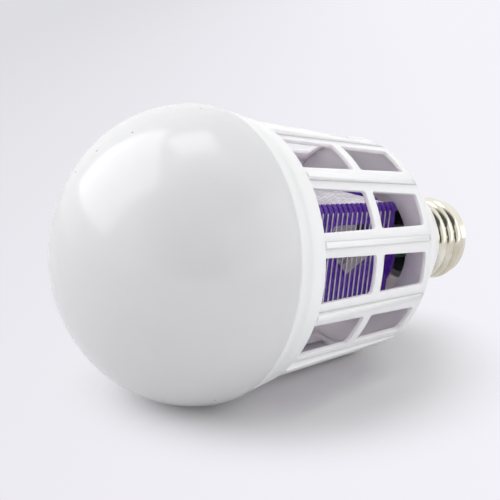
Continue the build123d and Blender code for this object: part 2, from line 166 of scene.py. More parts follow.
# the two limits, in metres, part the housing's inner faces from its outer ones: distance from the axis, plus
# the wall's taper times the distance along the axis from the contact's face, is smaller inside
whiteLook = {
    "pale": (0.90, 0.89, 0.905), "warm": (0.88, 0.865, 0.88), "grainScale": 700, "grainHeight": 0.000003,
    # inside: painted light, the mauve lift of purple bounce light on the shaded inner faces
    "inside": (0.96, 0.885, 0.91), "cageTaper": 0.0828, "cageLimit": 0.02792, "coneTaper": 0.7074,
    "coneLimit": -0.00168,
}


def insideHousing(tree, look):
    # 1 on the faces that look in at the wires, where the purple bounce light is painted: nearer to the axis
    # than the middle of the tapered walls
    coordinates = tree.nodes.new("ShaderNodeTexCoord")
    offset, along, reach = (tree.nodes.new("ShaderNodeVectorMath") for _ in range(3))
    offset.operation, along.operation, reach.operation = "SUBTRACT", "DOT_PRODUCT", "LENGTH"
    offset.inputs[1].default_value = capPlace
    along.inputs[1].default_value = capAxis
    tree.links.new(coordinates.outputs["Object"], offset.inputs[0])
    tree.links.new(offset.outputs["Vector"], along.inputs[0])
    tree.links.new(offset.outputs["Vector"], reach.inputs[0])
    square = [
        mathNode(tree, "MULTIPLY", node.outputs["Value"], node.outputs["Value"]) for node in (reach, along)]
    radius = mathNode(tree, "SQRT", mathNode(tree, "SUBTRACT", *square), 0.0)
    sides = []
    for taper, limit in (("cageTaper", "cageLimit"), ("coneTaper", "coneLimit")):
        lean = mathNode(tree, "MULTIPLY", along.outputs["Value"], look[taper])
        sides.append(mathNode(tree, "LESS_THAN", mathNode(tree, "ADD", radius, lean), look[limit]))
    return mathNode(tree, "MULTIPLY", *sides)


def whitePlastic(look):
    # semi-gloss moulding with a fine grain, very slightly warmer in patches; the inner faces get painted light,
    # a lighter mauve tone standing for purple light bouncing round the shaded housing
    material, tree, shader = newMaterial(
        "whitePlastic", look["pale"], 0.3, IOR=1.5, Subsurface_Weight=0.5, Subsurface_Scale=0.005)
    shader.inputs["Subsurface Radius"].default_value = (1.0, 0.85, 0.9)
    tone = colorRamp(tree, objectNoise(tree, 45), ((0.3, look["warm"]), (0.65, look["pale"])))
    # painted purple bounce light: the inner faces take the lighter mauve tone
    toneWithPaintedBounce = mixColors(tree, insideHousing(tree, look), tone, look["inside"])
    tree.links.new(toneWithPaintedBounce, shader.inputs["Base Color"])
    tree.links.new(mapRange(tree, objectNoise(tree, 150), 0.29, 0.34), shader.inputs["Roughness"])
    addBump(tree, shader, objectNoise(tree, look["grainScale"], detail=2), look["grainHeight"])
    return material


purpleLook = {"light": (0.145, 0.040, 0.46), "deep": (0.075, 0.018, 0.30)}


def purplePlastic(look):
    material, tree, shader = newMaterial(
        "purplePlastic", look["light"], 0.25, IOR=1.5, Subsurface_Weight=0.25, Subsurface_Scale=0.002)
    shader.inputs["Subsurface Radius"].default_value = (0.6, 0.2, 1.0)
    tone = colorRamp(tree, objectNoise(tree, 120), ((0.3, look["deep"]), (0.7, look["light"])))
    tree.links.new(tone, shader.inputs["Base Color"])
    tree.links.new(mapRange(tree, objectNoise(tree, 300), 0.2, 0.36), shader.inputs["Roughness"])
    addBump(tree, shader, objectNoise(tree, 1800, detail=2), 0.00001)
    return material


def wireSteel():
    material, tree, shader = newMaterial("wireSteel", (0.80, 0.79, 0.81), 0.4, Metallic=1.0)
    tone = colorRamp(tree, objectNoise(tree, 500), ((0.35, (0.68, 0.67, 0.70)), (0.65, (0.88, 0.87, 0.89))))
    tree.links.new(tone, shader.inputs["Base Color"])
    tree.links.new(mapRange(tree, objectNoise(tree, 900), 0.32, 0.46), shader.inputs["Roughness"])
    return material


nickelLook = {
    "bright": (0.83, 0.80, 0.70), "dull": (0.62, 0.585, 0.45), "smearScale": 90, "scratchScale": 700,
}


def nickelPlate(look):
    # pale gold plating, duller in patches, with fine scratches round the thread
    material, tree, shader = newMaterial("nickelPlate", look["bright"], 0.22, Metallic=1.0)
    tone = colorRamp(tree, objectNoise(tree, look["smearScale"]), ((0.36, look["dull"]), (0.6, look["bright"])))
    tree.links.new(tone, shader.inputs["Base Color"])
    scratches = objectNoise(tree, look["scratchScale"], detail=2, stretch=(4, 0.3, 0.3))
    tree.links.new(mapRange(tree, scratches, 0.09, 0.19), shader.inputs["Roughness"])
    addBump(tree, shader, scratches, 0.000008)
    return material


def plainFinish(name, color, roughness, metallic=0.0, spread=0.85, scale=400):
    # small hidden parts: one tone with a faint grain
    material, tree, shader = newMaterial(name, color, roughness, Metallic=metallic)
    darker = tuple(channel * spread for channel in color)
    tree.links.new(colorRamp(tree, objectNoise(tree, scale), ((0.3, darker), (0.7, color))),
                   shader.inputs["Base Color"])
    tree.links.new(mapRange(tree, objectNoise(tree, scale), roughness * 0.85, roughness * 1.15),
                   shader.inputs["Roughness"])
    addBump(tree, shader, objectNoise(tree, scale * 4, detail=2), 0.00001)
    return material


finishes = {
    "opal": opalPlastic(opalLook),
    "white": whitePlastic(whiteLook),
    "purple": purplePlastic(purpleLook),
    "wire": wireSteel(),
    "nickel": nickelPlate(nickelLook),
    "contact": plainFinish("contactBrass", (0.74, 0.68, 0.50), 0.3, metallic=1.0),
    "insulator": plainFinish("darkInsulator", (0.03, 0.03, 0.035), 0.2),
    "plate": plainFinish("plateMask", (0.80, 0.80, 0.79), 0.4),
    "screw": plainFinish("screwZinc", (0.68, 0.68, 0.70), 0.35, metallic=1.0),
    "phosphor": plainFinish("phosphor", (0.86, 0.70, 0.22), 0.45),
    "clearChip": plainFinish("clearChip", (0.72, 0.72, 0.80), 0.15),
    "board": plainFinish("boardGreen", (0.05, 0.20, 0.10), 0.4),
    "sleeve": plainFinish("capacitorSleeve", (0.04, 0.05, 0.09), 0.3),
    "ferrite": plainFinish("ferrite", (0.09, 0.09, 0.10), 0.6),
    "film": plainFinish("filmRed", (0.42, 0.08, 0.05), 0.3),
    "resin": plainFinish("blackResin", (0.03, 0.03, 0.03), 0.5),
    "resistor": plainFinish("resistorBody", (0.52, 0.42, 0.30), 0.5),
    "lead": plainFinish("leadInsulation", (0.66, 0.66, 0.62), 0.35),
}
print("materials made:", len(finishes))


# Mesh helpers
def smoothByAngle(mesh, degrees=32):
    mesh.polygons.foreach_set("use_smooth", [True] * len(mesh.polygons))
    mesh.set_sharp_from_angle(angle=math.radians(degrees))


def newObject(name, mesh):
    piece = bpy.data.objects.new(name, mesh)
    bpy.context.scene.collection.objects.link(piece)
    return piece


def fromBmesh(name, bm, merge=0.0005):
    bmesh.ops.remove_doubles(bm, verts=bm.verts, dist=merge)
    bmesh.ops.recalc_face_normals(bm, faces=bm.faces)
    mesh = bpy.data.meshes.new(name)
    bm.to_mesh(mesh)
    bm.free()
    return newObject(name, mesh)


def evaluated(piece):
    # the modifiers' result becomes the piece's own mesh
    graph = bpy.context.evaluated_depsgraph_get()
    mesh = bpy.data.meshes.new_from_object(piece.evaluated_get(graph))
    if piece.type == "MESH":
        piece.modifiers.clear()
        piece.data = mesh
        return piece
    made = newObject(piece.name + "Mesh", mesh)
    bpy.data.objects.remove(piece)
    return made


def bevelEdges(piece, width, segments=2, degrees=34):
    bevel = piece.modifiers.new("rounded edges", "BEVEL")
    bevel.width = width
    bevel.segments = segments
    bevel.limit_method = "ANGLE"
    bevel.angle_limit = math.radians(degrees)
    bevel.miter_outer = "MITER_ARC"
    return evaluated(piece)


def joined(name, pieces):
    bm = bmesh.new()
    for piece in pieces:
        bm.from_mesh(piece.data)
        bpy.data.objects.remove(piece)
    mesh = bpy.data.meshes.new(name)
    bm.to_mesh(mesh)
    bm.free()
    return newObject(name, mesh)


def finishPiece(piece, name, finish, slotName, *nodes):
    # laid down on the table, smooth, with its material, and standing for its CAD node
    piece.name = name
    piece.data.name = name
    piece.data.transform(layDown)
    smoothByAngle(piece.data)
    piece.data.materials.clear()
    piece.data.materials.append(finishes[finish])
    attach(piece, bodyName)
    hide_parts(*nodes)
    print(name, "faces", len(piece.data.polygons))
    return piece


def roundedOutline(points, steps=6):
    # a closed outline of (x, radius) points; a third value rounds that corner
    outline = []
    for index, point in enumerate(points):
        here = Vector(point[:2])
        if len(point) < 3:
            outline.append(tuple(here))
            continue
        toBefore = (Vector(points[index - 1][:2]) - here).normalized()
        toAfter = (Vector(points[(index + 1) % len(points)][:2]) - here).normalized()
        half = toBefore.angle(toAfter) / 2
        reach = point[2] / math.tan(half)
        centre = here + (toBefore + toAfter).normalized() * point[2] / math.sin(half)
        first = here + toBefore * reach - centre
        last = here + toAfter * reach - centre
        sweep = first.angle_signed(last)
        for step in range(steps + 1):
            turned = first.copy()
            turned.rotate(Matrix.Rotation(-sweep * step / steps, 2))
            outline.append(tuple(centre + turned))
    return outline


def lathe(name, outline, sides=192, closed=True, radiusAt=None):
    # turns an outline of (x, radius) points about the X axis; radiusAt can change a radius with the angle
    bm = bmesh.new()
    rings = []
    for x, radius in outline:
        if radius < 1e-6:
            rings.append([bm.verts.new((x, 0, 0))] * sides)
            continue
        ring = []
        for side in range(sides):
            angle = 2 * math.pi * side / sides
            here = radiusAt(x, radius, angle) if radiusAt else radius
            ring.append(bm.verts.new((x, here * math.sin(angle), -here * math.cos(angle))))
        rings.append(ring)
    pairs = zip(rings, rings[1:] + rings[:1]) if closed else zip(rings, rings[1:])
    for first, second in pairs:
        for side in range(sides):
            after = (side + 1) % sides
            corners = [first[side], first[after], second[after], second[side]]
            unique = list(dict.fromkeys(corners))
            if len(unique) > 2:
                bm.faces.new(unique)
    return fromBmesh(name, bm)


def arc(centre, radius, start, end, steps):
    # points from one angle to another, in degrees, in the outline's plane
    angles = [math.radians(start + (end - start) * step / steps) for step in range(steps + 1)]
    return [(centre[0] + radius * math.cos(a), centre[1] + radius * math.sin(a)) for a in angles]


# Geometry Nodes: copies of a shape, each turned about the X axis and shifted along it
def repeatTree():
    tree = bpy.data.node_groups.new("repeatAboutAxis", "GeometryNodeTree")
    sockets = tree.interface
    sockets.new_socket("Geometry", in_out="INPUT", socket_type="NodeSocketGeometry")
    sockets.new_socket("Copies", in_out="INPUT", socket_type="NodeSocketInt")
    sockets.new_socket("First turn", in_out="INPUT", socket_type="NodeSocketFloat")
    sockets.new_socket("Turn per copy", in_out="INPUT", socket_type="NodeSocketFloat")
    sockets.new_socket("Shift per copy", in_out="INPUT", socket_type="NodeSocketFloat")
    sockets.new_socket("Weld distance", in_out="INPUT", socket_type="NodeSocketFloat")
    sockets.new_socket("Material", in_out="INPUT", socket_type="NodeSocketMaterial")
    sockets.new_socket("Geometry", in_out="OUTPUT", socket_type="NodeSocketGeometry")
    new, link = tree.nodes.new, tree.links.new
    given, result = new("NodeGroupInput"), new("NodeGroupOutput")
    offset, row = new("ShaderNodeCombineXYZ"), new("GeometryNodeMeshLine")
    link(given.outputs["Shift per copy"], offset.inputs["X"])
    link(given.outputs["Copies"], row.inputs["Count"])
    link(offset.outputs[0], row.inputs["Offset"])
    turn = new("ShaderNodeMath")
    turn.operation = "MULTIPLY_ADD"
    link(new("GeometryNodeInputIndex").outputs[0], turn.inputs[0])
    link(given.outputs["Turn per copy"], turn.inputs[1])
    link(given.outputs["First turn"], turn.inputs[2])
    rotation, copies = new("ShaderNodeCombineXYZ"), new("GeometryNodeInstanceOnPoints")
    link(turn.outputs[0], rotation.inputs["X"])
    link(row.outputs["Mesh"], copies.inputs["Points"])
    link(given.outputs["Geometry"], copies.inputs["Instance"])
    link(rotation.outputs[0], copies.inputs["Rotation"])
    real, weld = new("GeometryNodeRealizeInstances"), new("GeometryNodeMergeByDistance")
    link(copies.outputs["Instances"], real.inputs["Geometry"])
    link(real.outputs["Geometry"], weld.inputs["Geometry"])
    link(given.outputs["Weld distance"], weld.inputs["Distance"])
    paint = new("GeometryNodeSetMaterial")
    link(weld.outputs["Geometry"], paint.inputs["Geometry"])
    link(given.outputs["Material"], paint.inputs["Material"])
    link(paint.outputs["Geometry"], result.inputs["Geometry"])
    return tree


# Geometry Nodes: a round wire along a path
def wireTree():
    tree = bpy.data.node_groups.new("roundWire", "GeometryNodeTree")
    sockets = tree.interface
    sockets.new_socket("Geometry", in_out="INPUT", socket_type="NodeSocketGeometry")
    sockets.new_socket("Wire radius", in_out="INPUT", socket_type="NodeSocketFloat")
    sockets.new_socket("Sides", in_out="INPUT", socket_type="NodeSocketInt")
    sockets.new_socket("Material", in_out="INPUT", socket_type="NodeSocketMaterial")
    sockets.new_socket("Geometry", in_out="OUTPUT", socket_type="NodeSocketGeometry")
    new, link = tree.nodes.new, tree.links.new
    given, result = new("NodeGroupInput"), new("NodeGroupOutput")
    section, skin = new("GeometryNodeCurvePrimitiveCircle"), new("GeometryNodeCurveToMesh")
    link(given.outputs["Sides"], section.inputs["Resolution"])
    link(given.outputs["Wire radius"], section.inputs["Radius"])
    link(given.outputs["Geometry"], skin.inputs["Curve"])
    link(section.outputs["Curve"], skin.inputs["Profile Curve"])
    skin.inputs["Fill Caps"].default_value = True
    real, paint = new("GeometryNodeRealizeInstances"), new("GeometryNodeSetMaterial")
    link(skin.outputs["Mesh"], real.inputs["Geometry"])
    link(real.outputs["Geometry"], paint.inputs["Geometry"])
    link(given.outputs["Material"], paint.inputs["Material"])
    link(paint.outputs["Geometry"], result.inputs["Geometry"])
    return tree


repeatAboutAxis = repeatTree()
roundWire = wireTree()


def throughTree(piece, tree, values):
    modifier = piece.modifiers.new(tree.name, "NODES")
    modifier.node_group = tree
    identifiers = {item.name: item.identifier for item in tree.interface.items_tree if item.in_out == "INPUT"}
    for label, value in values.items():
        modifier[identifiers[label]] = value
    return evaluated(piece)


def repeated(piece, copies, firstTurn, turnStep, finish, shiftStep=0.0, weld=0.0002):
    return throughTree(piece, repeatAboutAxis, {
        "Copies": copies, "First turn": math.radians(firstTurn), "Turn per copy": math.radians(turnStep),
        "Shift per copy": shiftStep, "Weld distance": weld, "Material": finishes[finish]})


# Diffuser dome
domeSizes = {
    "radius": 40.9, "depth": 37.6, "handle": 0.5523, "wall": 1.5, "skirt": 2.8, "skirtRadius": 40.6,
    "skirtRound": 0.35, "lipRadius": 38.45, "lipWall": 1.4, "lipLength": 3.4,
}


def diffuserDome(size):
    def shell(inset):
        # a quarter oval as one cubic curve, from the tip to the widest place
        depth, radius, handle = size["depth"] - inset, size["radius"] - inset, size["handle"]
        corners = ((-depth, 0), (-depth, handle * radius), (-handle * depth, radius), (0, radius))
        points = []
        for step in range(57):
            t = step / 56
            weights = ((1 - t) ** 3, 3 * t * (1 - t) ** 2, 3 * t * t * (1 - t), t ** 3)
            points.append(tuple(sum(w * corner[i] for w, corner in zip(weights, corners)) for i in range(2)))
        return points

    lipBore = size["lipRadius"] - size["lipWall"]
    lipEnd = size["skirt"] + size["lipLength"]
    rim = roundedOutline([
        (0, size["radius"]), (size["skirt"], size["skirtRadius"], size["skirtRound"]),
        (size["skirt"], size["lipRadius"]), (lipEnd, size["lipRadius"], 0.3), (lipEnd, lipBore, 0.3),
        (size["skirt"], lipBore)])
    outline = shell(0) + rim[1:] + shell(size["wall"])[::-1]
    dome = lathe("dome", outline, sides=256, closed=False)
    return finishPiece(dome, "diffuserDome", "opal", "opal_plastic", "diffuser_dome")


# Lamp cup, with its web and the three screw bosses behind it
cupSizes = {
    "start": 2.8, "end": 14.0, "rimRadius": 40.4, "endRadius": 37.9, "rimRound": 0.7, "endRound": 0.4,
    "bore": 38.6, "rearBore": 36.7, "webFront": 8.0, "webBack": 9.6, "webBore": 4.0,
    "bosses": 3, "bossRadius": 3.0, "bossLength": 5.0, "bossRing": 30.0, "bossRoot": 0.3, "pilotRadius": 1.25,
}


def lampCup(size):
    cup = lathe("cupBody", roundedOutline([
        (size["start"], size["bore"], 0.2), (size["start"], size["rimRadius"], size["rimRound"]),
        (size["end"], size["endRadius"], size["endRound"]), (size["end"], size["rearBore"], 0.2),
        (size["webBack"], size["rearBore"]), (size["webBack"], size["webBore"]),
        (size["webFront"], size["webBore"]), (size["webFront"], size["bore"])]), sides=256)
    tip = size["webBack"] + size["bossLength"]
    root = size["webBack"] - size["bossRoot"]
    boss = lathe("cupBoss", roundedOutline([
        (root, size["bossRadius"]), (tip, size["bossRadius"], 0.3),
        (tip, size["pilotRadius"], 0.2), (root, size["pilotRadius"])]), sides=32)
    boss.data.transform(Matrix.Translation((0, 0, size["bossRing"])))
    step = 360 / size["bosses"]
    bosses = repeated(boss, size["bosses"], step / 2, step, "white")
    return finishPiece(joined("cup", [cup, bosses]), "lampCup", "white", "white_plastic", "lamp_cup")


# Cage: one rib with half a window on each side of it, repeated about the axis
cageSizes = {
    "ringStart": 9.6, "taperStart": 14.0, "end": 62.3, "frontRadius": 36.4, "backRadius": 32.4, "wall": 1.3,
    "windowRows": ((13.5, 36.75), (39.75, 59.2)), "cornerRound": 0.8, "ribs": 12,
    "ribHalfFront": 3.55, "ribHalfBack": 4.05, "endRound": 0.8, "edgeRound": 0.22,
    "finWidth": 1.65, "finFront": 1.7, "finBack": 0.55, "finEndRun": 2.4, "finFoot": 0.65, "finStart": 14.3,
    "finTipInset": 0.6, "finTopRound": 0.25, "finEndRound": 1.5, "finSink": 0.1,
    "floorStart": 60.9, "floorDepth": 6.1, "floorHole": 18.3, "floorLap": 0.3, "floorLip": 0.05,
    "floorStep": 0.1,
}


def cageOutside(size, x):
    taper = (size["frontRadius"] - size["backRadius"]) / (size["end"] - size["taperStart"])
    return size["frontRadius"] - taper * max(0.0, x - size["taperStart"])


def windowHalf(size, x):
    rowStart, rowEnd = size["taperStart"], size["windowRows"][-1][1]
    share = (min(x, rowEnd) - rowStart) / (rowEnd - rowStart)
    ribHalf = size["ribHalfFront"] + share * (size["ribHalfBack"] - size["ribHalfFront"])
    return cageOutside(size, x) * math.tan(math.pi / size["ribs"]) - ribHalf


class CageSheet:
    # the wall of one rib's sector: every point is kept twice, on the outer and on the inner face

    def __init__(self, size):
        self.size = size
        self.bm = bmesh.new()
        self.points = {}
        self.faces = []
        self.seamEdges = set()

    def point(self, side, x, kind, value):
        # kind "rib": value is a share of the rib's half width; kind "window": the distance from its middle
        if kind == "rib" and value == 0:
            side = 0
        key = (side, round(x, 4), kind, round(value, 4))
        if key in self.points:
            return key
        size = self.size
        halfStep = math.pi / size["ribs"]
        outer = cageOutside(size, x)
        roundStart = size["end"] - size["endRound"]
        inner = outer - size["wall"]
        if x > roundStart:
            fall = x - roundStart
            outer = cageOutside(size, roundStart) - size["endRound"] + math.sqrt(
                max(0.0, size["endRound"] ** 2 - fall ** 2))
        pair = []
        for radius in (outer, inner):
            if kind == "rib":
                angle = value * (halfStep - math.asin(windowHalf(size, x) / radius))
            else:
                angle = halfStep - math.asin(value / radius)
            angle *= side
            pair.append(self.bm.verts.new((x, radius * math.sin(angle), radius * math.cos(angle))))
        self.points[key] = pair
        return key

    def face(self, keys):
        keys = list(dict.fromkeys(keys))
        if len(keys) > 2:
            self.faces.append(keys)

    def strip(self, stations, columns):
        # quads between rows of keys; columns(x) gives one row
        rows = [columns(x) for x in stations]
        for first, second in zip(rows, rows[1:]):
            for index in range(len(first) - 1):
                self.face([first[index], first[index + 1], second[index + 1], second[index]])

    def close(self):
        # both faces of the wall, and its thickness along every free edge but the seams between sectors
        edges = {}
        for keys in self.faces:
            for first, second in zip(keys, keys[1:] + keys[:1]):
                edges.setdefault(frozenset((first, second)), []).append((first, second))
            self.bm.faces.new([self.points[key][0] for key in keys])
            self.bm.faces.new([self.points[key][1] for key in reversed(keys)])
        for users in edges.values():
            first, second = users[0]
            onSeam = all(key[2] == "window" and key[3] == 0 for key in (first, second))
            if len(users) == 1 and not onSeam:
                self.bm.faces.new([self.points[first][0], self.points[first][1],
                                   self.points[second][1], self.points[second][0]])
        return fromBmesh("cageSector", self.bm)


def cageSector(size):
    sheet = CageSheet(size)
    corner = size["cornerRound"]
    ribColumns, bandColumns, cornerSteps = 4, 5, 5
    rows = size["windowRows"]
    roundSteps, windowSteps = 4, 6
    roundStations = [
        size["end"] - size["endRound"] * (1 - math.sin(math.pi / 2 * step / roundSteps))
        for step in range(roundSteps + 1)]
    ribStations = [size["ringStart"]]
    for start, end in rows:
        run = end - start - 2 * corner
        between = [start + corner + run * step / windowSteps for step in range(windowSteps + 1)]
        ribStations += [start] + between + [end]
    ribStations += roundStations
    bands = [[size["ringStart"], rows[0][0]], [rows[0][1], rows[1][0]], [rows[1][1]] + roundStations]
    for side in (-1, 1):
        def ribRow(x):
            return [sheet.point(side, x, "rib", column / ribColumns) for column in range(ribColumns + 1)]

        def bandRow(x):
            inner = windowHalf(size, x) - corner
            spread = [inner * (1 - column / bandColumns) for column in range(bandColumns + 1)]
            return [sheet.point(side, x, "rib", 1)] + [sheet.point(side, x, "window", d) for d in spread]

        sheet.strip(ribStations, ribRow)
        for stations in bands:
            sheet.strip(stations, bandRow)
        for start, end in rows:
            for edge, into in ((start, 1), (end, -1)):
                bend = edge + into * corner
                fan = [sheet.point(side, bend, "rib", 1)]
                for step in range(1, cornerSteps):
                    angle = math.pi / 2 * step / cornerSteps
                    x = bend - into * corner * math.sin(angle)
                    fan.append(sheet.point(
                        side, x, "window", windowHalf(size, x) - corner * (1 - math.cos(angle))))
                fan.append(sheet.point(side, edge, "window", windowHalf(size, edge) - corner))
                tip = sheet.point(side, edge, "rib", 1)
                for first, second in zip(fan, fan[1:]):
                    sheet.face([tip, first, second])
    return sheet.close()


def cageFin(size):
    # stands on its rib, highest at the cup, and runs out to the wall near the cage's end
    front, back = size["finStart"], size["end"] - size["finEndRun"]
    tip = size["end"] - size["finTipInset"]
    side = roundedOutline([
        (front, cageOutside(size, front) - size["finFoot"]),
        (front, cageOutside(size, front) + size["finFront"], size["finTopRound"]),
        (back, cageOutside(size, back) + size["finBack"], size["finEndRound"]),
        (tip, cageOutside(size, size["end"]) - size["finSink"]),
        (tip, cageOutside(size, tip) - size["finFoot"])])
    bm = bmesh.new()
    half = size["finWidth"] / 2
    near = [bm.verts.new((x, -half, z)) for x, z in side]
    far = [bm.verts.new((x, half, z)) for x, z in side]
    bm.faces.new(near)
    bm.faces.new(far[::-1])
    for index in range(len(side)):
        after = (index + 1) % len(side)
        bm.faces.new([near[index], far[index], far[after], near[after]])
    fin = fromBmesh("cageFin", bm)
    return bevelEdges(fin, 0.3, segments=3, degrees=50)


def cage(size):
    turn = 360 / size["ribs"]
    wall = repeated(cageSector(size), size["ribs"], turn / 2, turn, "white")
    wall = bevelEdges(wall, size["edgeRound"])
    fins = repeated(cageFin(size), size["ribs"], turn / 2, turn, "white")
    bore = cageOutside(size, size["floorStart"]) - size["wall"]
    hole = size["floorStart"] + size["floorDepth"]
    thickness = size["end"] - size["floorStart"]
    endBore = cageOutside(size, size["end"]) - size["wall"]
    floor = lathe("cageFloor", roundedOutline([
        (size["floorStart"], bore + size["floorLap"]),
        (size["end"] - size["floorLip"], endBore + size["floorLap"]),
        (size["end"], endBore - size["floorStep"]),
        (hole + thickness, size["floorHole"], 0.3), (hole, size["floorHole"], 0.3),
        (size["floorStart"], bore)]), sides=192)
    return finishPiece(joined("cage", [wall, fins, floor]), "cage", "white", "white_plastic", "cage")


# Grid wires: two, wound side by side over the winding frame, each stepping on across the bottom face
wireSizes = {
    "firstSlot": 11.9, "pitch": 1.98, "slots": 26, "line": 14.95, "corner": 2.65, "reach": 10.55,
    "radius": 0.25,
}


def wirePath(size, first):
    line, reach = size["line"], size["reach"]
    inner = line - size["corner"]
    quarter = [
        (-inner, -inner, 270, 180), (-inner, inner, 180, 90), (inner, inner, 90, 0), (inner, -inner, 0, -90)]
    path = []
    for number in range(first, size["slots"], 2):
        x = size["firstSlot"] + size["pitch"] * number
        path.append((x, -reach, -line))
        for y, z, start, end in quarter:
            path += [(x, *place) for place in arc((y, z), size["corner"], start, end, 6)]
        path.append((x, reach, -line))
    return path


def gridWire(size, name, first, node):
    curve = bpy.data.curves.new(name, "CURVE")
    curve.dimensions = "3D"
    spline = curve.splines.new("POLY")
    path = wirePath(size, first)
    spline.points.add(len(path) - 1)
    for point, place in zip(spline.points, path):
        point.co = (*place, 1)
    wire = newObject(name, curve)
    wire = throughTree(wire, roundWire, {
        "Wire radius": size["radius"], "Sides": 10, "Material": finishes["wire"]})
    return finishPiece(wire, name, "wire", "grid_steel", node)


# Base cone with the spigot that carries the screw cap
coneSizes = {
    "start": 62.3, "end": 85.2, "startRadius": 32.0, "endRadius": 15.8, "wall": 2.2, "startRound": 0.35,
    "noseRound": 1.2, "mouthRadius": 31.1, "spigotRadius": 11.8, "spigotBore": 10.3, "spigotEnd": 100.0,
    "flange": 1.6, "throatStep": 4.5, "throatLength": 2.5,
}


def baseCone(size):
    slope = (size["startRadius"] - size["endRadius"]) / (size["end"] - size["start"])
    cavityStart = size["start"] + size["flange"]
    cavityRadius = size["startRadius"] - slope * (cavityStart - size["start"]) - size["wall"]
    throatRadius = size["spigotBore"] + size["throatStep"]
    throat = size["start"] + (size["startRadius"] - size["wall"] - throatRadius) / slope
    cone = lathe("cone", roundedOutline([
        (size["start"], size["mouthRadius"]), (size["start"], size["startRadius"], size["startRound"]),
        (size["end"], size["endRadius"], size["noseRound"]), (size["end"], size["spigotRadius"]),
        (size["spigotEnd"], size["spigotRadius"], 0.3), (size["spigotEnd"], size["spigotBore"], 0.3),
        (throat + size["throatLength"], size["spigotBore"]), (throat, throatRadius),
        (cavityStart, cavityRadius)]), sides=224)
    return finishPiece(cone, "baseCone", "white", "white_plastic", "base_cone")


# Screw shell: thin plated sheet with a rolled right-hand thread
shellSizes = {
    "start": 85.2, "bore": 11.95, "root": 12.25, "crest": 13.2, "pitch": 3.63, "threadStart": 88.9,
    "turns": 3.35,
    "end": 102.6, "noseLength": 1.9, "noseRadius": 9.9, "sheet": 0.4, "fade": 0.35, "leastRidge": 0.15,
    "boreInset": 1,
}


def threadRadius(size, x, radius, angle):
    # the ridge climbs one pitch a turn and fades out at both ends
    share = angle / (2 * math.pi)
    along = (x - size["threadStart"]) / size["pitch"] - share
    nearest = min(max(round(along), 0), math.floor(size["turns"] - share))
    away = abs(along - nearest)
    place = nearest + share
    least = size["leastRidge"]
    fade = min(1.0, place / size["fade"] + least, (size["turns"] - place) / size["fade"] + least)
    wave = max(0.0, math.cos(math.pi * min(1.0, away))) ** 0.8 if away < 0.5 else 0.0
    return radius + (size["crest"] - size["root"]) * wave * max(0.0, fade)


def screwShell(size):
    stations = 132
    run = size["end"] - size["start"]
    outside = [(size["start"] + run * step / stations, size["root"]) for step in range(stations + 1)]
    noseX = size["end"] + size["noseLength"]
    nose = roundedOutline([
        outside[-1], (noseX, size["noseRadius"], 0.15), (noseX, size["noseRadius"] - size["sheet"]),
        (size["end"], size["root"] - size["sheet"]), (size["end"] - size["boreInset"], size["bore"]),
        (size["start"], size["bore"])])

    def radiusAt(x, radius, angle):
        onThread = radius == size["root"] and x < size["end"]
        return threadRadius(size, x, radius, angle) if onThread else radius

    shell = lathe("shell", outside + nose[1:], sides=168, radiusAt=radiusAt)
    return finishPiece(shell, "screwShell", "nickel", "cap_metal", "screw_shell")


# Cap's insulator and centre contact
tipSizes = {
    "spigotEnd": 100.0, "flangeEnd": 102.4, "flangeRadius": 11.8, "noseX": 104.5, "noseRadius": 9.35,
    "end": 107.4, "tipRadius": 5.2, "bore": 1.6, "wall": 1.9, "inside": 5.65, "flangeStep": 2, "innerX": 102.6,
    "contactRadius": 4.6, "contactHeight": 1.1, "shankRadius": 1.45, "shankLength": 2.6,
}


def capInsulator(size):
    insulator = lathe("insulator", roundedOutline([
        (size["spigotEnd"], size["inside"] + size["flangeStep"]), (size["spigotEnd"], size["flangeRadius"]),
        (size["flangeEnd"], size["flangeRadius"]), (size["noseX"], size["noseRadius"]),
        (size["end"], size["tipRadius"], 0.4), (size["end"], size["bore"]),
        (size["end"] - size["wall"], size["bore"]), (size["innerX"], size["inside"])]), sides=128)
    return finishPiece(insulator, "capInsulator", "insulator", "dark_insulator", "cap_insulator")


def centreContact(size):
    start, face = size["end"] - size["shankLength"], size["end"] + size["contactHeight"]
    outline = [(start, 0)] + roundedOutline([
        (start, size["shankRadius"]), (size["end"], size["shankRadius"]), (size["end"], size["contactRadius"]),
        (face, size["contactRadius"], 0.7), (face, 3.0), (face - 0.15, 2.4)]) + [(face - 0.15, 0)]
    contact = lathe("contact", outline, sides=96, closed=False)
    return finishPiece(contact, "centreContact", "contact", "contact_metal", "centre_contact")


diffuserDome(domeSizes)
lampCup(cupSizes)
cage(cageSizes)
gridWire(wireSizes, "gridWireA", 0, "grid_wire_a")
gridWire(wireSizes, "gridWireB", 1, "grid_wire_b")
baseCone(coneSizes)
screwShell(shellSizes)
capInsulator(tipSizes)
centreContact(tipSizes)

# CAD nodes whose shape stays, each with its finish
nodeFinishes = {
    "winding_frame": "purple", "led_plate": "plate", "led_plate_screws": "screw", "white_led_chips": "phosphor",
    "uv_led_board": "plate", "uv_led_chips": "clearChip", "driver_board": "board",
    "electrolytic_capacitor": "sleeve", "drum_inductor": "ferrite", "film_capacitor": "film",
    "bridge_rectifier": "resin", "high_voltage_diodes": "resin", "fuse_resistor": "resistor",
    "led_leads": "lead", "grid_leads": "lead", "uv_link_leads": "lead", "live_lead": "lead",
    "neutral_lead": "lead",
}
for nodeName, finish in nodeFinishes.items():
    node = frame["nodes"][nodeName]
    node.data.materials.clear()
    node.data.materials.append(finishes[finish])
print("CAD nodes finished:", len(nodeFinishes))


# Table, backdrop and lights
def softRange(tree, source, fromMin, fromMax, toMin=0.0, toMax=1.0):
    node = tree.nodes.new("ShaderNodeMapRange")
    node.interpolation_type = "SMOOTHSTEP"
    for label, value in (("From Min", fromMin), ("From Max", fromMax), ("To Min", toMin), ("To Max", toMax)):
        node.inputs[label].default_value = value
    tree.links.new(source, node.inputs["Value"])
    return node.outputs["Result"]


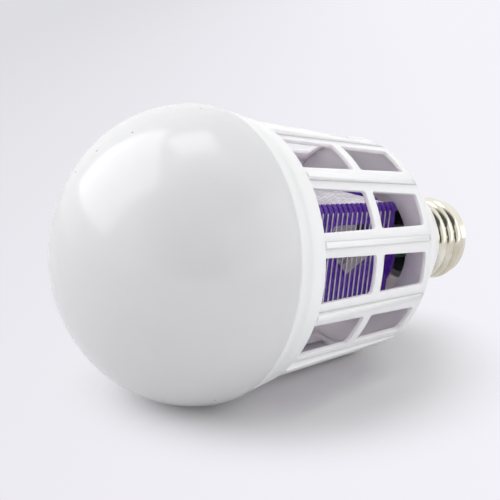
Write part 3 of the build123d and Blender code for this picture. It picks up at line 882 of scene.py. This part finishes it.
stageLook = {
    "tone": (0.71, 0.71, 0.72), "glowNear": (0.91, 0.90, 0.96), "glowPaintedShade": (0.73, 0.73, 0.76),
    "dimFrom": -0.2, "dimTo": 0.5, "whiteFrom": 0.037, "whiteTo": 0.076, "size": 4.0,
}


def stageFloor(look):
    # a pale table that goes over into a plain pale tone away from the bulb, with painted shade making that tone
    # dimmer towards +Y and -X; the camera, gloss and clear pieces see that tone, and the paint below it keeps
    # the shadow
    mesh = bpy.data.meshes.new("floor")
    half = look["size"] / 2
    corners = [(-half, -half, 0), (half, -half, 0), (half, half, 0), (-half, half, 0)]
    mesh.from_pydata(corners, [], [(0, 1, 2, 3)])
    floor = newObject("floor", mesh)
    material, tree, shader = newMaterial("floorPaint", look["tone"], 0.6)
    glow = tree.nodes.new("ShaderNodeEmission")
    glow.inputs["Strength"].default_value = 1.0
    coordinates = tree.nodes.new("ShaderNodeTexCoord")
    length = tree.nodes.new("ShaderNodeVectorMath")
    length.operation = "LENGTH"
    tree.links.new(coordinates.outputs["Object"], length.inputs[0])
    far = softRange(tree, length.outputs["Value"], look["whiteFrom"], look["whiteTo"])
    parts = tree.nodes.new("ShaderNodeSeparateXYZ")
    tree.links.new(coordinates.outputs["Object"], parts.inputs[0])
    across = mathNode(tree, "SUBTRACT", parts.outputs["Y"], parts.outputs["X"])
    # painted shade on the backdrop: the glow dims towards +Y and -X
    backdropShade = softRange(tree, across, look["dimFrom"], look["dimTo"])
    tree.links.new(mixColors(tree, backdropShade, look["glowNear"], look["glowPaintedShade"]), glow.inputs["Color"])
    rays = tree.nodes.new("ShaderNodeLightPath")
    mirrored = mathNode(tree, "MAXIMUM", rays.outputs["Is Glossy Ray"], rays.outputs["Is Transmission Ray"])
    seen = mathNode(tree, "MULTIPLY", mathNode(tree, "MAXIMUM", rays.outputs["Is Camera Ray"], mirrored), far)
    mix = tree.nodes.new("ShaderNodeMixShader")
    tree.links.new(seen, mix.inputs["Fac"])
    tree.links.new(shader.outputs["BSDF"], mix.inputs[1])
    tree.links.new(glow.outputs["Emission"], mix.inputs[2])
    tree.links.new(mix.outputs["Shader"], tree.nodes["Material Output"].inputs["Surface"])
    mesh.materials.append(material)


worldLook = {
    "tone": (1.0, 1.0, 1.0), "ambient": 0.82, "backdrop": 1.0, "darkSide": (-0.45, -0.70, 0.55),
    "darkLevel": 0.08,
    "darkInside": 30, "darkOutside": 60,
}


def paleWorld(look):
    # pale all round; gloss and clear pieces also see the room's dark side, which draws their edges
    world = bpy.data.worlds.new("paleRoom")
    bpy.context.scene.world = world
    world.use_nodes = True
    tree = world.node_tree
    background = tree.nodes["Background"]
    background.inputs["Color"].default_value = (*look["tone"], 1)
    coordinates = tree.nodes.new("ShaderNodeTexCoord")
    toward = tree.nodes.new("ShaderNodeVectorMath")
    toward.operation = "DOT_PRODUCT"
    toward.inputs[1].default_value = Vector(look["darkSide"]).normalized()
    tree.links.new(coordinates.outputs["Generated"], toward.inputs[0])
    outside, inside = (math.cos(math.radians(look[key])) for key in ("darkOutside", "darkInside"))
    room = softRange(tree, toward.outputs["Value"], outside, inside, look["backdrop"], look["darkLevel"])
    rays = tree.nodes.new("ShaderNodeLightPath")
    mirrored = mathNode(tree, "MAXIMUM", rays.outputs["Is Glossy Ray"], rays.outputs["Is Transmission Ray"])
    lift = mathNode(tree, "MULTIPLY", mathNode(tree, "SUBTRACT", room, look["ambient"]), mirrored)
    lit = mathNode(tree, "ADD", lift, look["ambient"])
    rest = mathNode(tree, "SUBTRACT", look["backdrop"], lit)
    seen = mathNode(tree, "MULTIPLY", rest, rays.outputs["Is Camera Ray"])
    tree.links.new(mathNode(tree, "ADD", lit, seen), background.inputs["Strength"])


def areaLight(name, place, target, size, power, color=(1, 1, 1)):
    data = bpy.data.lights.new(name, "AREA")
    data.shape = "RECTANGLE"
    data.size, data.size_y = size
    data.energy = power
    data.color = color
    lamp = newObject(name, data)
    lamp.location = place
    aim = Vector(target) - Vector(place)
    lamp.rotation_euler = aim.to_track_quat("-Z", "Y").to_euler()


# the two windows lie where the dome of the photograph mirrors them; the side light fills the near side
lightTarget = (0, 0, 0.04)
lightSettings = {
    "backWindow": {"place": (-0.42, 0.55, 0.62), "size": (0.95, 0.85), "power": 5.0},
    "topWindow": {"place": (0.08, 0.20, 0.95), "size": (0.42, 0.36), "power": 1.0},
    "sideLight": {"place": (0.35, -0.90, 0.22), "size": (1.6, 1.2), "power": 4.5},
}

cameraSettings = {
    "place": (-0.222240, -0.242929, 0.133606), "aim": (0.623287, 0.727515, -0.286768), "roll": -0.103,
    "lens": 84.76, "sensor": 36.0,
}


def photoCamera(settings):
    data = bpy.data.cameras.new("camera")
    data.lens = settings["lens"]
    data.sensor_width = settings["sensor"]
    data.clip_start = 0.01
    camera = newObject("camera", data)
    camera.location = settings["place"]
    facing = Vector(settings["aim"]).to_track_quat("-Z", "Y").to_matrix()
    camera.rotation_euler = (facing @ Matrix.Rotation(math.radians(settings["roll"]), 3, "Z")).to_euler()
    bpy.context.scene.camera = camera


stageFloor(stageLook)
paleWorld(worldLook)
for lampName, lamp in lightSettings.items():
    areaLight(lampName, lamp["place"], lightTarget, lamp["size"], lamp["power"])
photoCamera(cameraSettings)
bpy.context.scene.view_settings.view_transform = "Standard"
print("stage ready")
